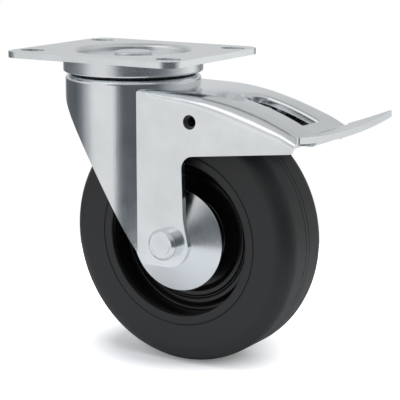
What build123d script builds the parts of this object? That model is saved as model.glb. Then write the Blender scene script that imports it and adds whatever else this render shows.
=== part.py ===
from build123d import *

import os
from math import asin, cos, degrees, pi, radians, sin, sqrt

# Swivel castor with a top plate, a pressed steel fork, a 125 mm wheel and a foot brake.
# The origin is the centre of the plate's top face, on the swivel axis.
# +Z is up and +X is the way the wheel trails, so the axle runs along Y.

# Top plate
plate_length = 100.0
plate_width = 85.0
plate_thickness = 3.0
plate_corner = 9.0
bolt_inset_x = 10.0
bolt_inset_y = 12.5
bolt_slot_width = 9.0
bolt_slot_length = 12.5
dish_radius = 28.5
dish_depth = 3.0
dish_wall = 3.0
dish_blend = 1.2
dish_rim_blend = 2.4

# Swivel head
ring_wall = 3.45
ring_fit = 0.05
ring_edge = 1.0
crown_gap = 1.2
upper_ball = 6.35
upper_track = 23.5
lower_ball = 5.0
lower_track = 14.5
ball_spacing = 1.05
track_depth = 0.325
ball_clearance = 0.05
cup_floor = 2.6
cup_lip = 1.4
cup_lip_gap = 0.8
seal_thickness = 0.9
seal_width = 3.0

# King pin
pin_diameter = 12.0
pin_head_diameter = 19.0
pin_head_height = 2.2
pin_clearance = 0.05
pin_fork_gap = 2.0
pin_washer_diameter = 20.0
pin_washer_thickness = 1.2
pin_nut_flats = 18.0
pin_nut_height = 5.4
pin_tail = 0.8
nut_bevel = 0.6

# Wheel
wheel_diameter = 125.0
wheel_width = 37.0
trail = 37.0
wheel_under_crown = 12.3
tread_corner = 8.5
tread_thickness = 16.5
tyre_lip = 2.5
tyre_groove = 4.5
tyre_groove_depth = 0.5
rim_wall = 7.6
rim_web = 9.0
rim_ridge_height = 2.2
rim_ridge_width = 2.0
outer_ridge = 4.9
inner_ridge = 8.9
hub_radius = 17.5
hub_foot = 1.0
hub_inset = 1.5

# Fork
sheet = 3.0
fork_side_gap = 6.0
drum_inset = 1.0
drum_shoulder = 2.6
roof_drop = 4.1
roof_flat_end = 42.0
roof_radius = 135.8
roof_end = 107.5
roof_overrun = 6.0
roof_edge = 7.0
roof_edge_start = 1.0
roof_edge_start_x = 16.0
least_edge = 0.4
panel_tail_height = 8.4
panel_slope = 0.11
rake_start = 2.0
rake_upper_x = -11.7
rake_upper_height = 50.0
rake_lower_x = 7.1
rake_lower_height = 18.9
leg_front = 14.4
leg_back = 8.3
leg_back_foot = 9.3
leg_round = 12.0
leg_corner = 3.4
leg_heel = 36.0
window_corner = 6.5
slot_half_width = 8.0
slot_length = 35.0
slot_margin = 6.5
slot_flange = 2.0
slot_flange_drop = 1.2
slot_tail = 4.0

# Axle and bearing
axle_diameter = 10.0
axle_clearance = 0.05
axle_head_diameter = 15.4
axle_head_height = 5.6
axle_head_chamfer = 1.0
axle_nut_flats = 17.0
axle_nut_height = 8.0
axle_tail = 2.0
axle_washer_diameter = 20.0
axle_washer_thickness = 1.6
tube_diameter = 15.0
roller_diameter = 3.9
roller_spacing = 1.25
roller_clearance = 0.05
roller_end_chamfer = 0.3
cage_wall = 2.6
cage_end_gap = 0.5
cage_end_wall = 2.3
cage_pocket = 0.2
sleeve_wall = 1.5
guard_radius = 25.6
guard_sheet = 1.0
guard_seat = 11.0
guard_gap = 0.4
guard_hem = 1.6

# Brake
pivot_reach = 13.0
pivot_drop = 13.6
pivot_diameter = 7.0
pivot_clearance = 0.05
pivot_bore = 4.8
pivot_recess = 2.4
lever_sheet = 2.2
lever_side_gap = 1.0
lever_roof_gap = 0.5
lever_front_reach = 6.6
lever_web_start = 4.0
lever_corner = 3.4
lever_bend_reach = 23.5
lever_tail_gap = 4.0
lever_flange_drop = 6.2
lever_flange_reach = 30.0
lever_nose_round = 5.0
neck_start_gap = 6.5
neck_half_width = 14.0
neck_roof_gap = 0.45
neck_bend = 3.2
friction_washer_diameter = 12.6
friction_washer_thickness = 0.7
foot_gap = 0.9
foot_thickness = 3.0
foot_over_roof = 0.1
foot_rise = 0.15
foot_bow = 3.1
foot_half_width = 48.5
foot_shoulder_half_width = 25.6
foot_depth = 11.4
foot_tip_sweep = 9.4
foot_tip_depth = 1.9
foot_tip_round = 0.8
foot_notch_reach = 20.7
foot_notch_radius = 1.5
shoe_gap = 4.0
shoe_start_angle = 24.0
shoe_sweep = 17.0
rivet_diameter = 4.0
rivet_head_diameter = 6.4
rivet_head_height = 1.2
rivet_reach = 40.0
rivet_spacing = 27.6
rivet_length = 6.5

# Levels and places that follow from the sizes above
bolt_spacing_x = plate_length - 2 * bolt_inset_x
bolt_spacing_y = plate_width - 2 * bolt_inset_y
dish_floor = -dish_depth
dish_under = -dish_depth - plate_thickness
boss_radius = dish_radius + dish_wall
ring_bore = boss_radius + ring_fit
ring_radius = ring_bore + ring_wall
crown_top = dish_under - upper_ball + 2 * track_depth
crown_under = crown_top - sheet
ring_bottom = crown_top + crown_gap
upper_ball_z = (dish_under + crown_top) / 2
upper_ball_count = int(2 * pi * upper_track / (upper_ball * ball_spacing))
lower_ball_z = crown_under - lower_ball / 2 + track_depth
lower_ball_count = int(2 * pi * lower_track / (lower_ball * ball_spacing))
pin_radius = pin_diameter / 2
cup_top = lower_ball_z - lower_ball / 2 + track_depth
cup_under = cup_top - cup_floor
cup_wall = lower_track + lower_ball / 2 + ball_clearance
pin_washer_under = cup_under - pin_washer_thickness
pin_nut_under = pin_washer_under - pin_nut_height

axle_z = crown_under - wheel_under_crown - wheel_diameter / 2
half_wheel = wheel_width / 2
tyre_seat = wheel_diameter / 2 - tread_thickness
rim_inner = tyre_seat - rim_wall
groove_radius = rim_inner + tyre_groove
hub_half = half_wheel - hub_inset
inner_half = half_wheel + fork_side_gap
half_fork = inner_half + sheet
drum_radius = ring_radius - drum_inset
roof_z = crown_top - roof_drop
roof_end_angle = degrees(asin((roof_end - roof_flat_end) / roof_radius))
roof_end_z = roof_z - roof_radius * (1 - cos(radians(roof_end_angle)))
body_floor = axle_z - wheel_diameter / 2
body_reach = 2 * ring_radius
slot_end = roof_end - slot_margin
slot_start = slot_end - slot_length

tube_radius = tube_diameter / 2
roller_pitch = tube_radius + roller_clearance + roller_diameter / 2
roller_count = int(2 * pi * roller_pitch / (roller_diameter * roller_spacing))
sleeve_bore = roller_pitch + roller_diameter / 2 + roller_clearance
sleeve_radius = sleeve_bore + sleeve_wall
cage_half = hub_half - cage_end_gap
roller_half = cage_half - cage_end_wall - cage_pocket

pivot_x = trail + pivot_reach
pivot_z = roof_z - pivot_drop
pivot_pin_radius = pivot_diameter / 2 - pivot_clearance
lever_half = inner_half - lever_side_gap
lever_front = pivot_x - lever_front_reach
lever_bend = pivot_x + lever_bend_reach
lever_end = roof_end - lever_tail_gap
neck_start = roof_end - neck_start_gap
foot_front = roof_end + foot_gap
foot_top = roof_end_z + foot_over_roof
shoe_width = rivet_spacing + rivet_head_diameter

swivel_axis = Axis.Z
axle_axis = Axis((trail, 0, axle_z), (0, 1, 0))
axle_plane = Plane(origin=(trail, 0, axle_z), x_dir=(1, 0, 0), z_dir=(0, 0, 1))


def swivel_turned(profile):
    """Turn a profile, drawn as radius and height, about the swivel axis."""
    return revolve(Plane.XZ * profile, swivel_axis)


def axle_turned(profile):
    """Turn a profile, drawn as radius and distance along the axle, about the axle."""
    return revolve(axle_plane * profile, axle_axis)


def from_side(profile, half_width):
    """Extrude a side view, drawn as X and Z, to both sides of the middle plane."""
    return extrude(Plane.XZ * profile, half_width, both=True)


def box_profile(inner, outer, low, high):
    """A rectangle between two radii and two heights."""
    return Polygon((inner, low), (outer, low), (outer, high), (inner, high), align=None)


def across(radius, start, end, x, z):
    """A round bar along Y between two places."""
    return Plane(origin=(x, start, z), z_dir=(0, 1, 0)) * extrude(Circle(radius), end - start)


def ball_row(ball_diameter, track_radius, height, count):
    """A ring of loose balls."""
    return [Pos(track_radius * cos(angle), track_radius * sin(angle), height) * Sphere(ball_diameter / 2)
            for angle in (2 * pi * step / count for step in range(count))]


def ball_track(ball_diameter, track_radius, height):
    """The ring-shaped groove that a row of balls runs in."""
    return Pos(0, 0, height) * Torus(track_radius, ball_diameter / 2 + ball_clearance)


def nut(flats, height, bore):
    """A hexagon nut with its corners turned off on both faces, lying on z = 0."""
    corner = flats / 2 / cos(pi / 6)
    body = extrude(RegularPolygon(corner, 6), height)
    bevel = (corner - flats / 2) * nut_bevel
    turned = revolve(Plane.XZ * Polygon(
        (bore, 0), (flats / 2, 0), (corner, bevel), (corner, height - bevel), (flats / 2, height), (bore, height),
        align=None), Axis.Z)
    return body & turned


def top_plate():
    """Pressed plate with four slots and a round dish that holds the upper race."""
    plate = extrude(RectangleRounded(plate_length, plate_width, plate_corner), -plate_thickness)
    for place in GridLocations(bolt_spacing_x, bolt_spacing_y, 2, 2):
        plate -= place * extrude(SlotOverall(bolt_slot_length, bolt_slot_width), -plate_thickness)
    boss = swivel_turned(box_profile(0, boss_radius, dish_under, -plate_thickness))
    recess = swivel_turned(box_profile(0, dish_radius, dish_floor, 0))
    plate = plate + boss - recess
    rims = plate.edges().filter_by(GeomType.CIRCLE).filter_by(
        lambda edge: abs(edge.radius - dish_radius) < 0.01 or abs(edge.radius - boss_radius) < 0.01)
    ends = rims.sort_by(Axis.Z)
    plate = fillet(ends[0], dish_blend)
    rim = plate.edges().filter_by(GeomType.CIRCLE).filter_by(
        lambda edge: abs(edge.radius - dish_radius) < 0.01 and edge.center().Z > -0.01)
    plate = fillet(rim, dish_rim_blend)
    plate -= Pos(0, 0, dish_under) * Cylinder(pin_radius + pin_clearance, 4 * plate_thickness)
    return plate - ball_track(upper_ball, upper_track, upper_ball_z)


def swivel_ring():
    """Plain ring under the plate that shields the upper balls."""
    ring = swivel_turned(box_profile(ring_bore, ring_radius, ring_bottom, -plate_thickness))
    lower_rims = ring.edges().filter_by(lambda edge: edge.center().Z < ring_bottom + 0.01)
    return fillet(lower_rims.sort_by(SortBy.LENGTH)[-1], ring_edge)


def king_pin():
    """Headed pin that holds the swivel head together."""
    head = Pos(0, 0, dish_floor + pin_head_height / 2) * Cylinder(pin_head_diameter / 2, pin_head_height)
    head = chamfer(head.edges().sort_by(Axis.Z)[-1], pin_head_height / 3)
    shank_end = pin_nut_under - pin_tail
    shank = swivel_turned(box_profile(0, pin_radius, shank_end, dish_floor))
    return head + chamfer(shank.edges().sort_by(Axis.Z)[0], pin_tail / 2)


def lower_race_cup():
    """Turned cup that the lower balls run in, clamped on the king pin."""
    bore = pin_radius + pin_clearance
    lip = crown_under - cup_lip_gap
    outer = cup_wall + cup_lip
    profile = Polygon((bore, cup_under), (outer, cup_under), (outer, lip), (cup_wall, lip), (cup_wall, cup_top),
                      (bore, cup_top), align=None)
    return swivel_turned(profile) - ball_track(lower_ball, lower_track, lower_ball_z)


def king_pin_washer():
    """Washer between the lower race cup and the nut."""
    bore = pin_radius + pin_clearance
    return swivel_turned(box_profile(bore, pin_washer_diameter / 2, pin_washer_under, cup_under))


def king_pin_nut():
    """Thin lock nut on the king pin."""
    return Pos(0, 0, pin_nut_under) * nut(pin_nut_flats, pin_nut_height, pin_radius + pin_clearance)


def dust_seal():
    """Flat rubber ring that closes the gap above the crown."""
    outer = drum_radius - drum_shoulder
    return swivel_turned(box_profile(outer - seal_width, outer, crown_top, crown_top + seal_thickness))


def section_with_round_top(half_width, top, edge, x):
    """A cross-section of the fork's rear body, square below and rounded at its upper corners."""
    outline = Polygon((-half_width, body_floor), (half_width, body_floor), (half_width, top), (-half_width, top),
                      align=None)
    corners = outline.vertices().filter_by(lambda corner: corner.Y > top - 0.01)
    return Plane(origin=(x, 0, 0), x_dir=(0, 1, 0), z_dir=(1, 0, 0)) * fillet(corners, edge)


def rear_body(inset):
    """The rear of the fork as a solid: a flat roof that curves down, with rounded edges that start sharp."""
    top = roof_z - inset
    half_width = half_fork - inset
    edge = roof_edge - inset
    run = Line((roof_flat_end, body_floor), (roof_flat_end, top))
    arc = JernArc((roof_flat_end, top), (1, 0), roof_radius - inset, -roof_end_angle - roof_overrun)
    back = Line(arc @ 1, ((arc @ 1).X, body_floor))
    under = Line(back @ 1, run @ 0)
    tail = from_side(make_face([run, arc, back, under]), half_width)
    ridge = tail.edges().filter_by(lambda piece: abs(abs(piece.center().Y) - half_width) < 0.01
                                   and abs(piece.length - arc.length) < 0.01)
    tail = fillet(ridge, edge)
    start_edge = max(roof_edge_start - inset, least_edge)
    front = loft([section_with_round_top(half_width, top, start_edge, roof_edge_start_x),
                  section_with_round_top(half_width, top, edge, roof_flat_end)], ruled=True)
    return front + tail


def fork_solid(inset):
    """Drum and rear body together, shrunk by the inset on every side."""
    drum = swivel_turned(box_profile(0, drum_radius - inset, body_floor, crown_top - inset))
    if inset == 0:
        drum = fillet(drum.edges().filter_by(lambda edge: edge.center().Z > crown_top - 0.01), drum_shoulder)
    return drum + rear_body(inset)


def roof_end_point(depth):
    """A point on the roof's end face, at a depth under the outer surface."""
    angle = radians(roof_end_angle)
    reach = roof_radius - depth
    return (roof_flat_end + reach * sin(angle), roof_z - roof_radius + reach * cos(angle))


def under_roof(x, depth):
    """The height at a place along the curved roof, at a depth under its outer surface."""
    return roof_z - roof_radius + sqrt((roof_radius - depth) ** 2 - (x - roof_flat_end) ** 2)


def fork_side_view():
    """The fork's outline from the side: drum front, raked front edge, leg, window and rear panel."""
    front_top = (-drum_radius - rake_start, roof_z)
    leg_bottom = axle_z - leg_round
    front = Spline(front_top, (rake_upper_x, axle_z + rake_upper_height), (rake_lower_x, axle_z + rake_lower_height),
                   (trail - leg_front, leg_bottom))
    sole = Line(front @ 1, (trail, leg_bottom))
    heel = JernArc((trail, leg_bottom), (1, 0), leg_round, 90)
    back = Line(heel @ 1, (trail + leg_back_foot, axle_z + leg_round))
    panel_end = roof_end_point(panel_tail_height)
    window_z = panel_end[1] - panel_slope * (panel_end[0] - trail - leg_back)
    rise = Line(back @ 1, (trail + leg_back, window_z))
    panel = Line(rise @ 1, panel_end)
    tail = Line(panel @ 1, roof_end_point(-sheet))
    over = Polyline(tail @ 1, ((tail @ 1).X, 0), (front_top[0], 0), front_top)
    outline = make_face([front, sole, heel, back, rise, panel, tail, over])
    outline = round_corner(outline, rise @ 1, window_corner)
    outline = round_corner(outline, back @ 1, leg_heel)
    return round_corner(outline, front @ 1, leg_corner)


def round_corner(outline, place, radius):
    """Round the corner of a flat outline that lies nearest to a place."""
    corner = outline.vertices().sort_by_distance(place)[0]
    return fillet(corner, radius)


def slot_plan(grow):
    """The roof slot from above: a round front end and a square rear end."""
    half = slot_half_width + grow
    centre = slot_start + slot_half_width
    nose = Pos(centre, 0) * Circle(half)
    length = slot_end + grow - centre
    return nose + Pos(centre + length / 2, 0) * Rectangle(length, 2 * half)


def fork():
    """One deep-drawn sheet: crown, drum, legs, side panels and roof."""
    shell = fork_solid(0) - fork_solid(sheet)
    body = shell & from_side(fork_side_view(), body_reach)
    depth = roof_end_z - 2 * sheet
    flange = extrude(slot_plan(slot_flange) - slot_plan(0), depth)
    flange = flange & (rear_body(sheet / 2) - rear_body(sheet + slot_flange_drop))
    flange = flange & from_side(box_profile(0, slot_end - slot_tail, body_floor, 0), fork_side_gap + half_wheel)
    body = body - extrude(slot_plan(0), depth) + flange
    body -= Cylinder(pin_radius + pin_fork_gap, 2 * sheet - 2 * crown_top)
    body -= across(pivot_diameter / 2, -body_reach, body_reach, pivot_x, pivot_z)
    body -= across(axle_diameter / 2 + axle_clearance, -body_reach, body_reach, trail, axle_z)
    body -= ball_track(upper_ball, upper_track, upper_ball_z)
    return body - ball_track(lower_ball, lower_track, lower_ball_z)


def axle_bolt():
    """Round-headed axle bolt, with its head on the near leg."""
    head = across(axle_head_diameter / 2, -half_fork - axle_head_height, -half_fork, trail, axle_z)
    head = chamfer(head.edges().sort_by(Axis.Y)[0], axle_head_chamfer)
    end = half_fork + axle_washer_thickness + axle_nut_height + axle_tail
    shank = across(axle_diameter / 2, -half_fork, end, trail, axle_z)
    return head + chamfer(shank.edges().sort_by(Axis.Y)[-1], axle_tail / 2)


def axle_washer():
    """Washer under the axle nut."""
    bore = axle_diameter / 2 + axle_clearance
    return axle_turned(box_profile(bore, axle_washer_diameter / 2, half_fork, half_fork + axle_washer_thickness))


def axle_nut():
    """Hexagon lock nut on the far leg."""
    seat = half_fork + axle_washer_thickness
    face = Plane(origin=(trail, seat, axle_z), x_dir=(1, 0, 0), z_dir=(0, 1, 0))
    return face * nut(axle_nut_flats, axle_nut_height, axle_diameter / 2 + axle_clearance)


def axle_tube():
    """Spacer tube between the two thread guards, which the rollers run on."""
    half = inner_half - guard_sheet
    return axle_turned(box_profile(axle_diameter / 2 + axle_clearance, tube_radius, -half, half))


def thread_guard(side):
    """Dished steel cap that keeps thread out of the bearing, clamped between leg and tube."""
    seat = inner_half * side
    under = seat - guard_sheet * side
    rim = (half_wheel + guard_gap) * side
    hem = rim - guard_hem * side
    bore = axle_diameter / 2 + axle_clearance
    fold = guard_radius - guard_hem
    profile = Polygon((bore, under), (bore, seat), (guard_seat, seat), (fold, rim), (guard_radius, hem),
                      (guard_radius - guard_sheet, hem), (fold - guard_sheet / 2, rim - guard_sheet * side),
                      (guard_seat - guard_sheet / 2, under), align=None)
    return axle_turned(profile)


def tyre():
    """Solid rubber tyre moulded over the rim, with a rounded tread and a groove round each side."""
    seat = half_wheel - tyre_lip
    tread = wheel_diameter / 2
    profile = Polygon((tyre_seat, -seat), (rim_inner, -seat), (rim_inner, -half_wheel), (tread, -half_wheel),
                      (tread, half_wheel), (rim_inner, half_wheel), (rim_inner, seat), (tyre_seat, seat), align=None)
    shoulders = profile.vertices().filter_by(lambda corner: corner.X > tread - 0.01)
    body = axle_turned(fillet(shoulders, tread_corner))
    groove = Polygon((groove_radius - tyre_groove_depth, half_wheel), (groove_radius + tyre_groove_depth, half_wheel),
                     (groove_radius, half_wheel - tyre_groove_depth), align=None)
    return body - axle_turned(groove) - axle_turned(mirror(groove, Plane.XZ))


def wheel_rim():
    """Moulded rim with a recess on each side, a middle web with two ring ridges, and a hub."""
    floor = rim_web / 2
    side = [(sleeve_radius, hub_half), (hub_radius, hub_half), (hub_radius + hub_foot, floor)]
    for ridge in (rim_inner - inner_ridge, rim_inner - outer_ridge):
        side += [(ridge - rim_ridge_width, floor), (ridge - rim_ridge_width / 2, floor + rim_ridge_height),
                 (ridge + rim_ridge_width / 2, floor + rim_ridge_height), (ridge + rim_ridge_width, floor)]
    side += [(rim_inner, floor), (rim_inner, half_wheel - tyre_lip), (tyre_seat, half_wheel - tyre_lip)]
    other = [(radius, -along) for radius, along in reversed(side)]
    return axle_turned(Polygon(*side, *other, align=None))


def hub_sleeve():
    """Steel sleeve pressed into the hub, as the outer roller track."""
    return axle_turned(box_profile(sleeve_bore, sleeve_radius, -hub_half, hub_half))


def around_axle(shape, count):
    """Copies of a shape spaced evenly round the axle."""
    return [shape.rotate(axle_axis, 360 * step / count) for step in range(count)]


def rollers():
    """The ring of bearing rollers."""
    bar = across(roller_diameter / 2, -roller_half, roller_half, trail + roller_pitch, axle_z)
    bar = chamfer(bar.edges().filter_by(GeomType.CIRCLE), roller_end_chamfer)
    return around_axle(bar, roller_count)


def roller_cage():
    """Moulded cage that spaces the rollers."""
    inner = roller_pitch - cage_wall / 2
    cage = axle_turned(box_profile(inner, inner + cage_wall, -cage_half, cage_half))
    half = roller_half + cage_pocket
    pocket = across(roller_diameter / 2 + cage_pocket, -half, half, trail + roller_pitch, axle_z)
    for opening in around_axle(pocket, roller_count):
        cage -= opening
    return cage


def web_line(drop):
    """Side view of the lever's web: level over the pivot, then down to the neck under the roof's end."""
    top = under_roof(lever_bend, sheet + slot_flange_drop) - lever_roof_gap - drop
    neck = under_roof(roof_end_point(sheet)[0], sheet) - neck_roof_gap - drop
    return [(lever_front, top), (lever_bend, top), (neck_start, neck)]


def under_web(drop, end, half_width):
    """All the space under the lever's web back to an end, as a solid."""
    front, bend, neck = web_line(drop)
    outline = Polygon(front, bend, neck, (end, neck[1]), (end, body_floor), (front[0], body_floor), align=None)
    return from_side(outline, half_width)


def lever_block(inset):
    """The lever's channel as a solid, shrunk by the inset at the top and sides."""
    half_width = lever_half - inset
    block = under_web(inset, roof_end, half_width)
    lowest = web_line(inset)[2][1]
    ridge = block.edges().filter_by(lambda edge: abs(abs(edge.center().Y) - half_width) < 0.01
                                    and edge.center().Z > lowest - 0.01
                                    and edge.bounding_box().size.X > 1)
    return fillet(ridge, lever_corner - inset)


def foot_plan():
    """The foot plate from above: a straight front with two relief notches, swept wings and a bowed rear edge."""
    tip_front = foot_front + foot_tip_sweep
    tip_back = tip_front + foot_tip_depth
    front = Polyline((tip_front, -foot_half_width), (foot_front, -foot_shoulder_half_width),
                     (foot_front, foot_shoulder_half_width), (tip_front, foot_half_width),
                     (tip_back, foot_half_width))
    rear = ThreePointArc(front @ 1, (foot_front + foot_depth, 0), (tip_back, -foot_half_width))
    end = Line(rear @ 1, front @ 0)
    plan = make_face([front, rear, end])
    tips = plan.vertices().filter_by(lambda corner: abs(corner.Y) > foot_half_width - 0.01)
    plan = fillet(tips, foot_tip_round)
    for side in (-1, 1):
        plan -= Pos(foot_front, side * foot_notch_reach) * Circle(foot_notch_radius)
    return plan


def foot_plate():
    """The wide foot plate, bowed up towards its tips and rising to the rear."""
    half = foot_half_width + 2
    lift = foot_bow * (half / foot_half_width) ** 2
    top = ThreePointArc((-half, foot_top + lift), (0, foot_top), (half, foot_top + lift))
    under = ThreePointArc((half, foot_top + lift - foot_thickness), (0, foot_top - foot_thickness),
                          (-half, foot_top + lift - foot_thickness))
    ends = [Line(top @ 1, under @ 0), Line(under @ 1, top @ 0)]
    section = Plane(origin=(foot_front, 0, 0), x_dir=(0, 1, 0), z_dir=(1, 0, 0)) * make_face([top, under, *ends])
    length = foot_depth + foot_tip_depth
    plate = extrude(section, length, dir=(1, 0, foot_rise))
    return plate & extrude(foot_plan(), body_floor)


def brake_lever():
    """Pressed lever: a channel with two ears at its pivots, a neck under the roof's end and a foot plate."""
    channel = lever_block(0) - lever_block(lever_sheet)
    front, bend, neck = web_line(0)
    low = pivot_z - lever_flange_drop
    neck_low = neck[1] - lever_sheet
    flange_side = Polygon(front, (front[0], low), (pivot_x + lever_flange_reach, low), (lever_end, neck_low),
                          (lever_end, front[1]), align=None)
    channel = channel & from_side(round_corner(flange_side, (front[0], low), lever_nose_round), body_reach)
    between_ears = box_profile(front[0] - 1, pivot_x + lever_web_start, low, roof_z)
    channel -= from_side(between_ears, lever_half - lever_sheet)
    riser_back = foot_front + lever_sheet
    joined = foot_top - foot_thickness / 2
    riser = Polygon(neck, (foot_front, neck[1]), (foot_front, joined), (riser_back, joined),
                    (riser_back, neck_low), (neck[0], neck_low), align=None)
    riser = round_corner(riser, (riser_back, neck_low), neck_bend)
    lever = channel + from_side(riser, neck_half_width) + foot_plate()
    lever -= across(pivot_pin_radius, -body_reach, body_reach, pivot_x, pivot_z)
    for bar in rivet_bars(rivet_diameter / 2, 0, rivet_length):
        lever -= bar
    return lever


def rivet_bars(radius, start, length):
    """Two round bars square to the web's slope, from a height over the web down into the shoe."""
    front, bend, neck = web_line(0)
    slope = Vector(neck[0] - bend[0], 0, neck[1] - bend[1]).normalized()
    down = Vector(slope.Z, 0, -slope.X)
    foot = Vector(bend[0], 0, bend[1]) + slope * ((trail + rivet_reach - bend[0]) / slope.X)
    bars = []
    for side in (-1, 1):
        base = foot + Vector(0, side * rivet_spacing / 2, 0) - down * start
        bars.append(Plane(origin=base, z_dir=down) * extrude(Circle(radius), length + start))
    return bars


def shoe_rivets():
    """Two headed rivets that hold the shoe to the lever's web."""
    shanks = rivet_bars(rivet_diameter / 2, 0, rivet_length)
    heads = rivet_bars(rivet_head_diameter / 2, rivet_head_height, 0)
    return [shank + head for shank, head in zip(shanks, heads)]


def brake_shoe():
    """Block under the lever with a hollow face that grips the tread."""
    face = wheel_diameter / 2 + shoe_gap
    ring = axle_turned(box_profile(face, 2 * face, -shoe_width / 2, shoe_width / 2))
    sides = [(trail, axle_z)]
    for angle in (radians(shoe_start_angle), radians(shoe_start_angle + shoe_sweep)):
        sides.append((trail + 3 * face * sin(angle), axle_z + 3 * face * cos(angle)))
    shoe = ring & from_side(Polygon(*sides, align=None), shoe_width)
    shoe = shoe & under_web(lever_sheet, lever_end, shoe_width)
    for bar in rivet_bars(rivet_diameter / 2, 0, rivet_length):
        shoe -= bar
    return shoe


def pivot_pins():
    """Two hollow stub pins, pressed into the lever's flanges, that turn in the fork's panels."""
    pins = []
    for side in (-1, 1):
        ends = sorted((side * (lever_half - lever_sheet), side * (half_fork - pivot_recess)))
        bar = across(pivot_pin_radius, *ends, pivot_x, pivot_z)
        pins.append(bar - across(pivot_bore / 2, *ends, pivot_x, pivot_z))
    return pins


def friction_washers():
    """Two washers on the stub pins that hold the lever where it is left."""
    washers = []
    for side in (-1, 1):
        ends = sorted((side * lever_half, side * (lever_half + friction_washer_thickness)))
        ring = across(friction_washer_diameter / 2, *ends, pivot_x, pivot_z)
        washers.append(ring - across(pivot_diameter / 2, *ends, pivot_x, pivot_z))
    return washers


nodes = {
    "top_plate": top_plate(),
    "swivel_ring": swivel_ring(),
    "upper_balls": ball_row(upper_ball, upper_track, upper_ball_z, upper_ball_count),
    "lower_balls": ball_row(lower_ball, lower_track, lower_ball_z, lower_ball_count),
    "lower_race_cup": lower_race_cup(),
    "king_pin": king_pin(),
    "king_pin_washer": king_pin_washer(),
    "king_pin_nut": king_pin_nut(),
    "dust_seal": dust_seal(),
    "fork": fork(),
    "axle_bolt": axle_bolt(),
    "axle_washer": axle_washer(),
    "axle_nut": axle_nut(),
    "axle_tube": axle_tube(),
    "thread_guard_near": thread_guard(-1),
    "thread_guard_far": thread_guard(1),
    "tyre": tyre(),
    "wheel_rim": wheel_rim(),
    "hub_sleeve": hub_sleeve(),
    "rollers": rollers(),
    "roller_cage": roller_cage(),
    "brake_lever": brake_lever(),
    "brake_shoe": brake_shoe(),
    "shoe_rivets": shoe_rivets(),
    "pivot_pins": pivot_pins(),
    "friction_washers": friction_washers(),
}

os.makedirs("parts", exist_ok=True)
for name, shape in nodes.items():
    solids = shape if isinstance(shape, list) else shape.solids()
    export_step(Compound(children=list(solids)), f"parts/{name}.step")
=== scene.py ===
import bmesh
import bpy
import numpy as np
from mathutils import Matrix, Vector


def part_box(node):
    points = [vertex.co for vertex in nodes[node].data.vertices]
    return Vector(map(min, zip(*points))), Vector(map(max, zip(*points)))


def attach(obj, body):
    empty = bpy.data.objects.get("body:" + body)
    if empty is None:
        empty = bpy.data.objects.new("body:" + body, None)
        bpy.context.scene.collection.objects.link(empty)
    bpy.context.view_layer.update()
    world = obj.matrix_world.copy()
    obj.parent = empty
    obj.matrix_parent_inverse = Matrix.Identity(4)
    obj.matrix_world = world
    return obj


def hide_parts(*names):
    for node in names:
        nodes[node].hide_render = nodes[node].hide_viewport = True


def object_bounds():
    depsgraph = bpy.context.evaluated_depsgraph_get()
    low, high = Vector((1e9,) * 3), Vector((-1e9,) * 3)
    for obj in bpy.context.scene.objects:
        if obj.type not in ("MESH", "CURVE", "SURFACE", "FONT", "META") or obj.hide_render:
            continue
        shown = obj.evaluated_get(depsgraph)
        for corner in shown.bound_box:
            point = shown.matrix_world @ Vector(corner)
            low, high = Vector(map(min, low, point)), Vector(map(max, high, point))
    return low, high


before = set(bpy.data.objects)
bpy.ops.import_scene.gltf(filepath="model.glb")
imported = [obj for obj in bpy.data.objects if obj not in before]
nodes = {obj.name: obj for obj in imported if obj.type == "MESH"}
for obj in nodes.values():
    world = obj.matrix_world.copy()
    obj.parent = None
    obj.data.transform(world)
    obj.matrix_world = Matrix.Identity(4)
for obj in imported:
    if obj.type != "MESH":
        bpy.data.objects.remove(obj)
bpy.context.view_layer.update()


# Top plate: a 3 mm sheet of steel with four bolt slots punched in it and a round dish pressed into it for
# the swivel head. It is zinc plated, and the plating keeps the sheet's faint lines and a cloudy sheen.
zinc_tint = (0.805, 0.83, 0.84)
merge_distance = 2e-6


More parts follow.
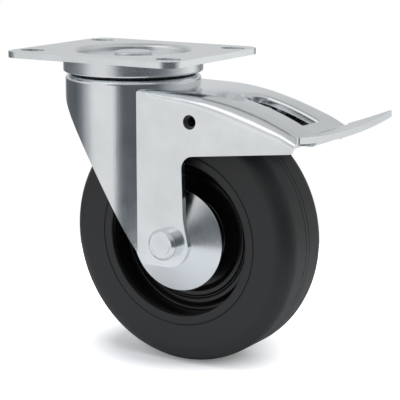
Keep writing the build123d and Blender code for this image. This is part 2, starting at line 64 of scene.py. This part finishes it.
def plated_steel(name, tint, roughness, line_direction, cloud=0.07, bump=0.06):
    """Bright zinc on steel: fine lines along one direction, soft clouds in tint and roughness.

    The lines are noise that is drawn out along their direction. Lines and clouds together set the roughness,
    and lines and grain together set the dents.
    """
    scale_along = 40
    scale_across = 1400
    line_share = 0.35
    dark_cloud = 1.4 * cloud
    material = bpy.data.materials.new(name)
    material.use_nodes = True
    tree = material.node_tree
    shader = tree.nodes["Principled BSDF"]
    shader.inputs["Metallic"].default_value = 1.0
    place = tree.nodes.new("ShaderNodeTexCoord")
    stretch = tree.nodes.new("ShaderNodeMapping")
    scales = [scale_along if axis == line_direction else scale_across for axis in "XYZ"]
    stretch.inputs["Scale"].default_value = scales
    lines = tree.nodes.new("ShaderNodeTexNoise")
    lines.inputs["Scale"].default_value = 1.0
    lines.inputs["Detail"].default_value = 4.0
    clouds = tree.nodes.new("ShaderNodeTexNoise")
    clouds.inputs["Scale"].default_value = 55.0
    clouds.inputs["Detail"].default_value = 5.0
    grain = tree.nodes.new("ShaderNodeTexNoise")
    grain.inputs["Scale"].default_value = 900.0
    grain.inputs["Detail"].default_value = 3.0
    tree.links.new(place.outputs["Object"], stretch.inputs["Vector"])
    tree.links.new(stretch.outputs["Vector"], lines.inputs["Vector"])
    tree.links.new(place.outputs["Object"], clouds.inputs["Vector"])
    tree.links.new(place.outputs["Object"], grain.inputs["Vector"])
    colour = tree.nodes.new("ShaderNodeValToRGB")
    colour.color_ramp.elements[0].position = 0.3
    colour.color_ramp.elements[0].color = (*[part * (1 - dark_cloud) for part in tint], 1)
    colour.color_ramp.elements[1].position = 0.7
    colour.color_ramp.elements[1].color = (*[min(part * (1 + cloud), 1.0) for part in tint], 1)
    tree.links.new(clouds.outputs["Fac"], colour.inputs["Fac"])
    tree.links.new(colour.outputs["Color"], shader.inputs["Base Color"])
    mixed = tree.nodes.new("ShaderNodeMath")
    mixed.operation = "MULTIPLY_ADD"
    mixed.inputs[1].default_value = line_share
    tree.links.new(lines.outputs["Fac"], mixed.inputs[0])
    tree.links.new(clouds.outputs["Fac"], mixed.inputs[2])
    spread = tree.nodes.new("ShaderNodeMapRange")
    spread.inputs["From Min"].default_value = 0.4
    spread.inputs["From Max"].default_value = 0.95
    spread.inputs["To Min"].default_value = roughness - 0.06
    spread.inputs["To Max"].default_value = roughness + 0.1
    tree.links.new(mixed.outputs["Value"], spread.inputs["Value"])
    tree.links.new(spread.outputs["Result"], shader.inputs["Roughness"])
    relief = tree.nodes.new("ShaderNodeMath")
    relief.operation = "ADD"
    tree.links.new(lines.outputs["Fac"], relief.inputs[0])
    tree.links.new(grain.outputs["Fac"], relief.inputs[1])
    dent = tree.nodes.new("ShaderNodeBump")
    dent.inputs["Strength"].default_value = bump
    dent.inputs["Distance"].default_value = 0.0002
    tree.links.new(relief.outputs["Value"], dent.inputs["Height"])
    tree.links.new(dent.outputs["Normal"], shader.inputs["Normal"])
    return material


def keep_smooth(worked, mesh):
    """Write a worked mesh back, with every face smooth."""
    for face in worked.faces:
        face.smooth = True
    worked.to_mesh(mesh)
    worked.free()


def eased_copy(name, node, width, material, body):
    """A merged copy of a CAD piece whose sharp edges get a round of some width in mm.

    The triangles of flat faces are joined first, so that the rounds run along whole edges, and the shading
    then follows the large faces.
    """
    flat_angle = np.radians(0.3)
    sharp_angle = np.radians(32)
    mesh = nodes[node].data.copy()
    mesh.name = name
    worked = bmesh.new()
    worked.from_mesh(mesh)
    bmesh.ops.remove_doubles(worked, verts=worked.verts, dist=merge_distance)
    bmesh.ops.dissolve_limit(worked, angle_limit=flat_angle, verts=worked.verts, edges=worked.edges)
    keep_smooth(worked, mesh)
    mesh.materials.clear()
    mesh.materials.append(material)
    piece = bpy.data.objects.new(name, mesh)
    bpy.context.scene.collection.objects.link(piece)
    easing = piece.modifiers.new("easing", "BEVEL")
    easing.width = width * 0.001
    easing.segments = 3
    easing.limit_method = "ANGLE"
    easing.angle_limit = sharp_angle
    easing.harden_normals = True
    shading = piece.modifiers.new("shading", "WEIGHTED_NORMAL")
    shading.weight = 90
    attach(piece, body)
    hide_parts(node)
    return piece


plate_zinc = plated_steel("plate_zinc", zinc_tint, 0.24, "X")
pressed_plate = eased_copy("pressed_top_plate", "top_plate", 0.35, plate_zinc, "plate")


# Swivel ring: a plain turned ring of zinc plated steel. It sits round the plate's boss, against the plate,
# and shields the upper row of balls.
def rounded_outline(corners, radii, steps=7):
    """Closed outline, in mm, whose corners are arcs with the given radii.

    An arc's centre lies on the line that halves its corner, at the radius over the sine of half the corner's
    angle. The arc starts and ends on the two sides, at the radius over the tangent of that angle.
    """
    smallest_radius = 0.02
    largest_cosine = 0.9999
    corners = np.array(corners, float)
    radii = np.maximum(np.broadcast_to(np.array(radii, float), len(corners)), smallest_radius)
    back = np.roll(corners, 1, axis=0) - corners
    ahead = np.roll(corners, -1, axis=0) - corners
    back /= np.linalg.norm(back, axis=1)[:, None]
    ahead /= np.linalg.norm(ahead, axis=1)[:, None]
    half = np.arccos(np.clip((back * ahead).sum(axis=1), -largest_cosine, largest_cosine)) / 2
    middle = back + ahead
    middle /= np.maximum(np.linalg.norm(middle, axis=1), 1e-9)[:, None]
    centres = corners + middle * (radii / np.sin(half))[:, None]
    start = corners + back * (radii / np.tan(half))[:, None] - centres
    finish = corners + ahead * (radii / np.tan(half))[:, None] - centres
    first = np.arctan2(start[:, 1], start[:, 0])
    turn = np.arctan2(finish[:, 1], finish[:, 0]) - first
    turn = (turn + np.pi) % (2 * np.pi) - np.pi
    angles = first[:, None] + turn[:, None] * np.linspace(0, 1, steps)
    arcs = np.stack([np.cos(angles), np.sin(angles)], axis=-1) * radii[:, None, None]
    return (centres[:, None] + arcs).reshape(-1, 2)


def turned(outline, centre, along, steps):
    """Grid of points: each outline point, a radius and a place along the axis, goes once round the axis."""
    angle = np.linspace(0, 2 * np.pi, steps, endpoint=False)[:, None]
    radius = np.maximum(outline[None, :, 0], 0.0)
    place = np.broadcast_to(outline[None, :, 1], (steps, len(outline)))
    first = radius * np.cos(angle)
    second = radius * np.sin(angle)
    parts = [first, second, place] if along == "Z" else [first, place, second]
    return np.stack(parts, axis=-1) + np.array(centre)


def grid_faces(rows, columns):
    """Four-cornered faces between neighbouring points of a grid that closes on itself in both directions."""
    row = np.arange(rows)[:, None]
    column = np.arange(columns)[None, :]
    next_row = (row + 1) % rows
    next_column = (column + 1) % columns
    quads = [
        row * columns + column,
        row * columns + next_column,
        next_row * columns + next_column,
        next_row * columns + column,
    ]
    return np.stack(quads, axis=-1).reshape(-1, 4)


def turned_piece(name, outline, centre, along, steps, material, body, replaced):
    """A smooth piece turned once round an axis from its closed outline, in mm.

    Points that fall together on the axis are merged, the faces are turned outward, and the shading follows
    the large faces.
    """
    points = turned(outline, centre, along, steps)
    faces = grid_faces(steps, len(outline))
    mesh = bpy.data.meshes.new(name)
    mesh.from_pydata((points.reshape(-1, 3) * 0.001).tolist(), [], faces.tolist())
    worked = bmesh.new()
    worked.from_mesh(mesh)
    bmesh.ops.remove_doubles(worked, verts=worked.verts, dist=merge_distance)
    bmesh.ops.dissolve_degenerate(worked, edges=worked.edges, dist=merge_distance / 2)
    bmesh.ops.recalc_face_normals(worked, faces=worked.faces)
    keep_smooth(worked, mesh)
    mesh.materials.append(material)
    piece = bpy.data.objects.new(name, mesh)
    bpy.context.scene.collection.objects.link(piece)
    shading = piece.modifiers.new("shading", "WEIGHTED_NORMAL")
    shading.weight = 90
    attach(piece, body)
    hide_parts(*replaced)
    return piece


swivel_axis = (0, 0, 0)
ring_zinc = plated_steel("ring_zinc", zinc_tint, 0.27, "X", cloud=0.04)
ring_corners = [(31.55, -3.0), (35.0, -3.0), (35.0, -10.5), (31.55, -10.5)]
ring_outline = rounded_outline(ring_corners, [0.1, 0.3, 1.0, 0.4])
swivel_ring = turned_piece("swivel_head_ring", ring_outline, swivel_axis, "Z", 192, ring_zinc, "plate",
                           ["swivel_ring"])


# Balls, lower race cup, rollers, spacer tube and hub sleeve: hardened steel, ground bright, lightly oiled.
# The balls and rollers are loose in their tracks, the cup and the tube are clamped, the sleeve is pressed in.
def finish_node(name, material):
    """Give a CAD node its material in every slot."""
    slots = nodes[name].data.materials
    slots.clear()
    slots.append(material)


ball_steel = plated_steel("ball_steel", (0.60, 0.60, 0.61), 0.16, "X", cloud=0.03, bump=0.01)
for name in ("upper_balls", "lower_balls", "lower_race_cup", "hub_sleeve", "rollers", "axle_tube"):
    finish_node(name, ball_steel)


# King pin with its washer and nut: cold-headed steel, zinc plated. Its flat head lies on the dish's floor,
# and the nut under the fork's crown clamps the lower race cup.
pin_zinc = plated_steel("pin_zinc", (0.74, 0.76, 0.78), 0.24, "Z")
pin_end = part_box("king_pin")[0][2] * 1000
pin_corners = [(0, -0.8), (9.5, -0.8), (9.5, -3.0), (6.0, -3.0), (6.0, pin_end), (0, pin_end)]
pin_outline = rounded_outline(pin_corners, [0, 1.1, 0.1, 0.1, 0.6, 0])
riveted_pin = turned_piece("riveted_king_pin", pin_outline, swivel_axis, "Z", 96, pin_zinc, "plate",
                           ["king_pin"])
for name in ("king_pin_washer", "king_pin_nut"):
    finish_node(name, pin_zinc)


# Dust seal: a flat ring of black rubber, cut from sheet.
# It lies on the fork's crown and closes the gap under the swivel ring.
def soft_black(name, dark, light, roughness, grain_scale, bump):
    """Rubber or moulded plastic: two close tones in soft clouds, a cloudy roughness and fine dents."""
    material = bpy.data.materials.new(name)
    material.use_nodes = True
    tree = material.node_tree
    shader = tree.nodes["Principled BSDF"]
    place = tree.nodes.new("ShaderNodeTexCoord")
    clouds = tree.nodes.new("ShaderNodeTexNoise")
    clouds.inputs["Scale"].default_value = 70.0
    clouds.inputs["Detail"].default_value = 6.0
    grain = tree.nodes.new("ShaderNodeTexNoise")
    grain.inputs["Scale"].default_value = grain_scale
    grain.inputs["Detail"].default_value = 3.0
    tree.links.new(place.outputs["Object"], clouds.inputs["Vector"])
    tree.links.new(place.outputs["Object"], grain.inputs["Vector"])
    colour = tree.nodes.new("ShaderNodeValToRGB")
    colour.color_ramp.elements[0].position = 0.3
    colour.color_ramp.elements[0].color = (*dark, 1)
    colour.color_ramp.elements[1].position = 0.7
    colour.color_ramp.elements[1].color = (*light, 1)
    tree.links.new(clouds.outputs["Fac"], colour.inputs["Fac"])
    tree.links.new(colour.outputs["Color"], shader.inputs["Base Color"])
    spread = tree.nodes.new("ShaderNodeMapRange")
    spread.inputs["To Min"].default_value = roughness - 0.08
    spread.inputs["To Max"].default_value = roughness + 0.12
    tree.links.new(clouds.outputs["Fac"], spread.inputs["Value"])
    tree.links.new(spread.outputs["Result"], shader.inputs["Roughness"])
    dent = tree.nodes.new("ShaderNodeBump")
    dent.inputs["Strength"].default_value = bump
    dent.inputs["Distance"].default_value = 0.0002
    tree.links.new(grain.outputs["Fac"], dent.inputs["Height"])
    tree.links.new(dent.outputs["Normal"], shader.inputs["Normal"])
    return material


seal_rubber = soft_black("seal_rubber", (0.008, 0.008, 0.009), (0.014, 0.014, 0.015), 0.5, 1500.0, 0.1)
seal_outline = rounded_outline([(28.4, -11.7), (31.4, -11.7), (31.4, -10.8), (28.4, -10.8)], 0.3)
seal_ring = turned_piece("rubber_seal_ring", seal_outline, swivel_axis, "Z", 128, seal_rubber, "fork_body",
                         ["dust_seal"])


# Fork: one deep-drawn sheet of 3 mm steel, zinc plated, with the drawing lines down its sides.
# The bend between roof and panels is sharp at the drum and large over the wheel. The upper edge of the
# roof's slot is rolled over its flange.
fork_half_width = 27.5
roof_top = -15.8
roof_start = 42.0
roof_radius = 135.8
# Each bend is a row of places along the roof and a row of its outer rounds there. Points count as part of
# the bend from just over its edges to just under the sheet's inner face.
cad_bend = [(16, 42), (1, 7)]
real_bend = [(16, 28, 45, 54, 64, 78, 91, 101), (1, 3.4, 5.7, 6.9, 8.1, 9.4, 8.9, 7.0)]
bend_start = 16.5
bend_wall = 3.3
bend_slack = 0.06
smallest_reach = 0.01


def from_roof_centre(points):
    """Distances of points from the centre line of the roof's arc: to the rear, upward and in a straight line.

    Over the roof's flat front part that line is taken to lie straight under the point.
    """
    ahead = np.maximum(points[:, 0] - roof_start, 0)
    upward = points[:, 2] - (roof_top - roof_radius)
    return ahead, upward, np.hypot(ahead, upward)


def wider_bend(points):
    """Points of the fork, in mm, after the bend between roof and panels is made as round as on the real one.

    A point's station is the X of its foot on the roof, and gives the old round and the new one. A point of
    the bend lies at an angle and a reach from the bend's centre line. That line moves inward by as much as
    the round grows, and the reach grows by the same, so the angle and the sheet's thickness stay.
    """
    ahead, upward, from_centre = from_roof_centre(points)
    station = np.minimum(points[:, 0], roof_start) + roof_radius * ahead / from_centre
    old_round = np.interp(station, *cad_bend)
    new_round = np.interp(station, *real_bend)
    inward = old_round - (fork_half_width - np.abs(points[:, 1]))
    down = old_round - (roof_radius - from_centre)
    reach = np.hypot(inward, down)
    in_bend = (inward > -bend_slack) & (down > -bend_slack)
    in_bend &= (reach > old_round - bend_wall) & (station > bend_start)
    grown = (reach + new_round - old_round) / np.maximum(reach, smallest_reach)
    new_from_centre = roof_radius - new_round + down * grown
    moved = np.stack([
        np.minimum(points[:, 0], roof_start) + ahead * new_from_centre / from_centre,
        np.sign(points[:, 1]) * (fork_half_width - new_round + inward * grown),
        roof_top - roof_radius + upward * new_from_centre / from_centre,
    ], axis=1)
    return np.where(in_bend[:, None], moved, points)


fork_zinc = plated_steel("fork_zinc", zinc_tint, 0.13, "Z", cloud=0.05)
pressed_fork = eased_copy("pressed_fork", "fork", 0.35, fork_zinc, "fork_body")
fork_mesh = pressed_fork.data
points = np.empty(len(fork_mesh.vertices) * 3, np.float32)
fork_mesh.vertices.foreach_get("co", points)
points = wider_bend(points.reshape(-1, 3).astype(float) * 1000)
fork_mesh.vertices.foreach_set("co", (points * 0.001).astype(np.float32).ravel())
fork_mesh.update()

# The slot's rim is every edge on the roof that lies at half the slot's width from its middle line, which
# ends in the middle of the round front. The rolled rim stops short of the slot's rear end.
slot_half_width = 8.0
slot_front_middle = 74.0
slot_rear = 101.4
roof_slack = 0.08
rim_slack = 0.15
longest_rim_step = 4.0
rim_round = 0.0021
depth = roof_radius - from_roof_centre(points)[2]
from_middle = np.hypot(np.minimum(points[:, 0] - slot_front_middle, 0), points[:, 1])
on_rim = (np.abs(depth) < roof_slack) & (np.abs(from_middle - slot_half_width) < rim_slack)
on_rim &= points[:, 0] < slot_rear
ends = np.empty(len(fork_mesh.edges) * 2, np.int32)
fork_mesh.edges.foreach_get("vertices", ends)
ends = ends.reshape(-1, 2)
step = np.abs(points[ends[:, 0], 1] - points[ends[:, 1], 1])
rim_places = np.flatnonzero(on_rim[ends].all(axis=1) & (step < longest_rim_step)).tolist()
worked = bmesh.new()
worked.from_mesh(fork_mesh)
worked.edges.ensure_lookup_table()
rim_edges = [worked.edges[place] for place in rim_places]
bmesh.ops.bevel(worked, geom=rim_edges, offset=rim_round, offset_type="OFFSET", segments=5, profile=0.5,
                affect="EDGES", clamp_overlap=False)
keep_smooth(worked, fork_mesh)


# Axle bolt, washer, lock nut and the two dished thread guards: zinc plated steel. The bolt clamps the fork's
# legs over the guards and the spacer tube between them. Its thread shows past the nut.
axle = (37.0, 0.0, -89.5)
axle_zinc = plated_steel("axle_zinc", zinc_tint, 0.19, "Z", cloud=0.05)
finish_node("axle_washer", axle_zinc)
eased_nut = eased_copy("hexagon_axle_nut", "axle_nut", 0.3, axle_zinc, "fork_body")
thread_start = 35.2
thread_ridges = 4
head_corners = [(0, -33.0), (5.0, -33.0), (5.35, -33.1), (6.3, -33.1), (7.7, -31.9), (7.7, -27.5),
                (5.0, -27.5)]
head_rounds = [0, 0.3, 0.3, 0.7, 0.7, 0.1, 0.1]
thread_places = thread_start + np.arange(thread_ridges)[:, None] + np.array([0.0, 0.5])
thread_radii = np.broadcast_to([5.0, 4.55], (thread_ridges, 2))
thread_corners = np.stack([thread_radii, thread_places], axis=-1).reshape(-1, 2).tolist()
bolt_corners = head_corners + thread_corners + [(4.1, 39.1), (0, 39.1)]
bolt_rounds = head_rounds + [0.1] * len(thread_corners) + [0.4, 0]
bolt_outline = rounded_outline(bolt_corners, bolt_rounds)
headed_bolt = turned_piece("headed_axle_bolt", bolt_outline, axle, "Y", 96, axle_zinc, "fork_body",
                           ["axle_bolt"])
guard_corners = np.array([(5.05, 23.5), (5.05, 24.5), (11.0, 24.5), (24.2, 18.9), (25.6, 18.3), (25.6, 17.3),
                          (24.6, 17.3), (24.3, 17.9), (10.6, 23.5)])
guard_rounds = [0.1, 0.2, 5.0, 1.6, 0.5, 0.2, 0.2, 0.4, 4.0]
for name, side in (("near", -1), ("far", 1)):
    guard_outline = rounded_outline(guard_corners * (1, side), guard_rounds, steps=9)
    guard = turned_piece(f"dished_guard_{name}", guard_outline, axle, "Y", 160, axle_zinc, "fork_body",
                         [f"thread_guard_{name}"])


# Roller cage: moulded from pale nylon.
# It lies between the spacer tube and the hub's sleeve and keeps the rollers apart.
cage_nylon = soft_black("cage_nylon", (0.30, 0.27, 0.20), (0.36, 0.32, 0.25), 0.45, 900.0, 0.08)
finish_node("roller_cage", cage_nylon)


# Rim: moulded from glossy black nylon, with a hub, a web with two ring ridges on each side, and a wall that
# the tyre sits on. The hub's sleeve is pressed into it.
rim_nylon = soft_black("rim_nylon", (0.006, 0.006, 0.007), (0.010, 0.010, 0.011), 0.22, 700.0, 0.05)
rim_side = [(13.0, 17.0), (17.5, 17.0), (18.6, 4.5), (26.6, 4.5), (28.4, 6.6), (30.6, 6.6), (31.6, 5.4),
            (32.6, 6.6), (34.6, 6.6), (36.4, 4.5), (38.4, 4.5), (38.4, 16.0), (46.0, 16.0)]
rim_rounds = [0.2, 0.6, 1.5, 1.2, 1.2, 0.7, 0.5, 0.7, 1.0, 1.0, 0.9, 0.2, 0.2]
rim_corners = rim_side + [(radius, -along) for radius, along in reversed(rim_side)]
rim_outline = rounded_outline(rim_corners, rim_rounds + rim_rounds[::-1])
moulded_rim = turned_piece("moulded_rim", rim_outline, axle, "Y", 192, rim_nylon, "wheel", ["wheel_rim"])


# Tyre: solid dark grey rubber, moulded over the rim. The mould leaves a fine line in each side and two round
# the tread.
tyre_rubber = soft_black("tyre_rubber", (0.014, 0.0142, 0.0148), (0.019, 0.0192, 0.020), 0.5, 1300.0, 0.2)
tyre_side = [(46.0, 16.0), (38.4, 16.0), (38.4, 18.5), (42.5, 18.5), (42.9, 18.0), (43.3, 18.5), (62.5, 18.5)]
tyre_rounds = [0.2, 0.2, 0.7, 0.15, 0.1, 0.15, 8.5]
tread_lines = [(62.5, 1.75), (62.25, 1.5), (62.5, 1.25), (62.5, -1.25), (62.25, -1.5), (62.5, -1.75)]
line_rounds = [0.08] * len(tread_lines)
tyre_corners = tyre_side + tread_lines + [(radius, -along) for radius, along in reversed(tyre_side)]
tyre_outline = rounded_outline(tyre_corners, tyre_rounds + line_rounds + tyre_rounds[::-1], steps=9)
solid_tyre = turned_piece("solid_rubber_tyre", tyre_outline, axle, "Y", 256, tyre_rubber, "wheel", ["tyre"])


# Brake lever: pressed from sheet steel and zinc plated, with a rubber shoe riveted under its web.
# Two hollow stub pins, pressed into its ears, turn in the fork's panels with a friction washer on each.
lever_zinc = plated_steel("lever_zinc", zinc_tint, 0.28, "Y", cloud=0.06)
bent_lever = eased_copy("bent_brake_lever", "brake_lever", 0.5, lever_zinc, "brake")
finish_node("shoe_rivets", pin_zinc)
shoe_rubber = soft_black("shoe_rubber", (0.012, 0.012, 0.013), (0.020, 0.020, 0.021), 0.6, 1100.0, 0.2)
finish_node("brake_shoe", shoe_rubber)
# The stub pins are painted nearly black: painted shade standing in for the shade inside the pivot holes, not
# a colour of the pins' steel.
dark_steel = plated_steel("dark_steel", (0.09, 0.09, 0.10), 0.42, "Y", cloud=0.1)
finish_node("pivot_pins", dark_steel)
finish_node("friction_washers", pin_zinc)


# Studio: the camera at the photograph's angle, a round pale table, a room of light and dark walls that the
# plating reflects, and one soft box over the table.
camera_turn = np.radians(31.53)
camera_rise = np.radians(11.73)
camera_distance = 0.73809
aim = Vector((0.0391, 0.0, -0.07278))
camera_data = bpy.data.cameras.new("camera")
camera_data.sensor_width = 36.0
camera_data.lens = 133.9
camera_data.clip_start = 0.01
camera = bpy.data.objects.new("camera", camera_data)
bpy.context.scene.collection.objects.link(camera)
toward = Vector((np.sin(camera_turn) * np.cos(camera_rise), -np.cos(camera_turn) * np.cos(camera_rise),
                 np.sin(camera_rise)))
camera.location = aim + camera_distance * toward
camera.rotation_euler = toward.to_track_quat("Z", "Y").to_euler()
bpy.context.scene.camera = camera

# The table is a flat disc. Its material carries a painted glow, white emission that only the camera sees, so
# that its edge is lost in the white background.
# The glow is weak round the wheel and full further out, so it paints out the lamp's shadow beyond a small
# disc round the wheel; the shadow's outline there is painted.
floor_radius = 0.25
floor_middle = 0.037
floor_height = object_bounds()[0][2]
shadow_middle = (0.022, 0.012, floor_height)
shadow_radius = 0.035
white_radius = 0.07
around = np.linspace(0, 2 * np.pi, 96, endpoint=False)
floor_points = np.stack([
    floor_middle + floor_radius * np.cos(around),
    floor_radius * np.sin(around),
    np.full_like(around, floor_height),
], axis=1)
floor_mesh = bpy.data.meshes.new("floor")
floor_mesh.from_pydata(floor_points.tolist(), [], [list(range(len(around)))])
floor = bpy.data.objects.new("floor", floor_mesh)
bpy.context.scene.collection.objects.link(floor)
floor_painted_glow = bpy.data.materials.new("floor_painted_glow")
floor_painted_glow.use_nodes = True
tree = floor_painted_glow.node_tree
shader = tree.nodes["Principled BSDF"]
shader.inputs["Base Color"].default_value = (0.89, 0.915, 0.945, 1)
shader.inputs["Roughness"].default_value = 0.7
place = tree.nodes.new("ShaderNodeTexCoord")
far = tree.nodes.new("ShaderNodeVectorMath")
far.operation = "DISTANCE"
far.inputs[1].default_value = shadow_middle
tree.links.new(place.outputs["Object"], far.inputs[0])
# Painted glow: its strength rises from 0.2 at shadow_radius round shadow_middle to 1.0 at white_radius, for
# camera rays only.
fade = tree.nodes.new("ShaderNodeMapRange")
fade.inputs["From Min"].default_value = shadow_radius
fade.inputs["From Max"].default_value = white_radius
fade.inputs["To Min"].default_value = 0.2
fade.inputs["To Max"].default_value = 1.0
tree.links.new(far.outputs["Value"], fade.inputs["Value"])
path = tree.nodes.new("ShaderNodeLightPath")
painted_glow_strength = tree.nodes.new("ShaderNodeMath")
painted_glow_strength.operation = "MULTIPLY"
tree.links.new(path.outputs["Is Camera Ray"], painted_glow_strength.inputs[0])
tree.links.new(fade.outputs["Result"], painted_glow_strength.inputs[1])
shader.inputs["Emission Color"].default_value = (1, 1, 1, 1)
tree.links.new(painted_glow_strength.outputs["Value"], shader.inputs["Emission Strength"])
floor_mesh.materials.append(floor_painted_glow)

# The room: bright walls at the camera's left and far right, a light backdrop, and darkness round the camera.
# A wall's tone depends on its bearing, counted from the camera's side, positive to the camera's right. There
# is one ring of tones under the horizon, one over it, and a plain ceiling.
world = bpy.data.worlds.new("room")
bpy.context.scene.world = world
world.use_nodes = True
tree = world.node_tree
background = tree.nodes["Background"]
place = tree.nodes.new("ShaderNodeTexCoord")
turned_room = tree.nodes.new("ShaderNodeMapping")
turned_room.vector_type = "VECTOR"
turned_room.inputs["Rotation"].default_value = (0, 0, float(np.pi / 2 - camera_turn))
parts = tree.nodes.new("ShaderNodeSeparateXYZ")
angle = tree.nodes.new("ShaderNodeMath")
angle.operation = "ARCTAN2"
share = tree.nodes.new("ShaderNodeMapRange")
share.inputs["From Min"].default_value = -np.pi
share.inputs["From Max"].default_value = np.pi
tree.links.new(place.outputs["Generated"], turned_room.inputs["Vector"])
tree.links.new(turned_room.outputs["Vector"], parts.inputs["Vector"])
tree.links.new(parts.outputs["Y"], angle.inputs[0])
tree.links.new(parts.outputs["X"], angle.inputs[1])
tree.links.new(angle.outputs["Value"], share.inputs["Value"])


def wall_ring(tones):
    """Grey tones round the room: pairs of a bearing in degrees and a brightness. Dark tones are cooler."""
    ring = tree.nodes.new("ShaderNodeValToRGB")
    stops = ring.color_ramp.elements
    while len(stops) < len(tones):
        stops.new(0.5)
    for stop, (bearing, tone) in zip(stops, tones):
        stop.position = (bearing + 180) / 360
        coolness = 0.12 * (1 - tone) ** 2
        stop.color = (tone * (1 - coolness), tone, tone * (1 + coolness), 1)
    tree.links.new(share.outputs["Result"], ring.inputs["Fac"])
    return ring.outputs["Color"]


def blend_colours(amount, low, high):
    """Mix two colours by an amount from 0 to 1. A plain colour may stand for either."""
    low_socket, high_socket, mixed_socket = 6, 7, 2
    mix = tree.nodes.new("ShaderNodeMix")
    mix.data_type = "RGBA"
    tree.links.new(amount, mix.inputs[0])
    for socket, colour in ((low_socket, low), (high_socket, high)):
        if isinstance(colour, tuple):
            mix.inputs[socket].default_value = colour
        else:
            tree.links.new(colour, mix.inputs[socket])
    return mix.outputs[mixed_socket]


def rise_between(value, start, end):
    """Goes smoothly from 0 to 1 while a value goes from start to end."""
    ramp = tree.nodes.new("ShaderNodeMapRange")
    ramp.interpolation_type = "SMOOTHSTEP"
    ramp.inputs["From Min"].default_value = start
    ramp.inputs["From Max"].default_value = end
    tree.links.new(value, ramp.inputs["Value"])
    return ramp.outputs["Result"]


low_walls = wall_ring([
    (-180, 0.72), (-150, 0.14), (-112, 0.12), (-98, 0.20), (-84, 0.46), (-70, 0.80), (-33, 0.84),
    (-25, 0.32), (-16, 0.125), (0, 0.115), (50, 0.115), (60, 0.22), (72, 0.46), (84, 0.64),
    (100, 0.90), (120, 1.0), (138, 0.20), (150, 0.20), (180, 0.72)])
high_walls = wall_ring([
    (-180, 0.70), (-150, 0.62), (-125, 0.45), (-112, 0.60), (-95, 0.82), (-47, 0.90), (-34, 0.22),
    (-22, 0.12), (42, 0.12), (66, 0.42), (90, 0.60), (135, 0.55), (150, 0.55), (163, 0.66), (180, 0.70)])
ceiling = (0.60, 0.605, 0.61, 1)
walls = blend_colours(rise_between(parts.outputs["Z"], -0.03, 0.05), low_walls, high_walls)
walls = blend_colours(rise_between(parts.outputs["Z"], 0.20, 0.56), walls, ceiling)


def room_direction(bearing, height):
    """The unit direction with a bearing and a height in degrees."""
    bearing = np.radians(bearing)
    height = np.radians(height)
    return np.array([np.cos(height) * np.cos(bearing), np.cos(height) * np.sin(bearing), np.sin(height)])


def along_direction(direction):
    """How far a looked-at direction goes along a fixed one."""
    product = tree.nodes.new("ShaderNodeVectorMath")
    product.operation = "DOT_PRODUCT"
    product.inputs[1].default_value = direction.tolist()
    tree.links.new(turned_room.outputs["Vector"], product.inputs[0])
    return product.outputs["Value"]


def long_patch(behind, start, end, half_width, soft, colour):
    """Lay a colour over what is behind it, along the arc between two directions, with soft ends and sides.

    The sine of a direction's angle off the arc's plane gives the sides, and the cosine of its angle from the
    arc's middle gives the ends. Half width and softness are in degrees.
    """
    start = room_direction(*start)
    end = room_direction(*end)
    across = np.cross(start, end)
    middle = (start + end) / np.linalg.norm(start + end)
    half_length = np.degrees(np.arccos(start @ end)) / 2
    offset = tree.nodes.new("ShaderNodeMath")
    offset.operation = "ABSOLUTE"
    tree.links.new(along_direction(across / np.linalg.norm(across)), offset.inputs[0])
    outer_side, inner_side = np.sin(np.radians([half_width + soft, half_width]))
    outer_end, inner_end = np.cos(np.radians([half_length + soft, half_length]))
    near_line = rise_between(offset.outputs["Value"], outer_side, inner_side)
    near_middle = rise_between(along_direction(middle), outer_end, inner_end)
    both = tree.nodes.new("ShaderNodeMath")
    both.operation = "MULTIPLY"
    tree.links.new(near_line, both.inputs[0])
    tree.links.new(near_middle, both.inputs[1])
    return blend_colours(both.outputs["Value"], behind, colour)


# A dark arc crosses the ceiling, and a bright strip hangs high at the camera's left.
# The camera itself sees plain white in place of the room.
walls = long_patch(walls, (-118, 60), (20, 86), 3.0, 5.0, (0.25, 0.255, 0.26, 1))
walls = long_patch(walls, (-80, 39), (-33, 40), 5.5, 6.0, (1.32, 1.33, 1.34, 1))
path = tree.nodes.new("ShaderNodeLightPath")
walls = blend_colours(path.outputs["Is Camera Ray"], walls, (1, 1, 1, 1))
tree.links.new(walls, background.inputs["Color"])

# The soft box over the table. It isn't seen in the plating, which has the room to reflect.
top_light = bpy.data.lights.new("top_light", "AREA")
top_light.shape = "RECTANGLE"
top_light.size = 0.6
top_light.size_y = 0.6
top_light.energy = 5.0
top_lamp = bpy.data.objects.new("top_lamp", top_light)
top_lamp.location = (0.02, -0.10, 0.95)
top_lamp.visible_glossy = False
top_lamp.rotation_euler = (Vector(top_lamp.location) - aim).to_track_quat("Z", "Y").to_euler()
bpy.context.scene.collection.objects.link(top_lamp)

bpy.context.scene.view_settings.view_transform = "Standard"
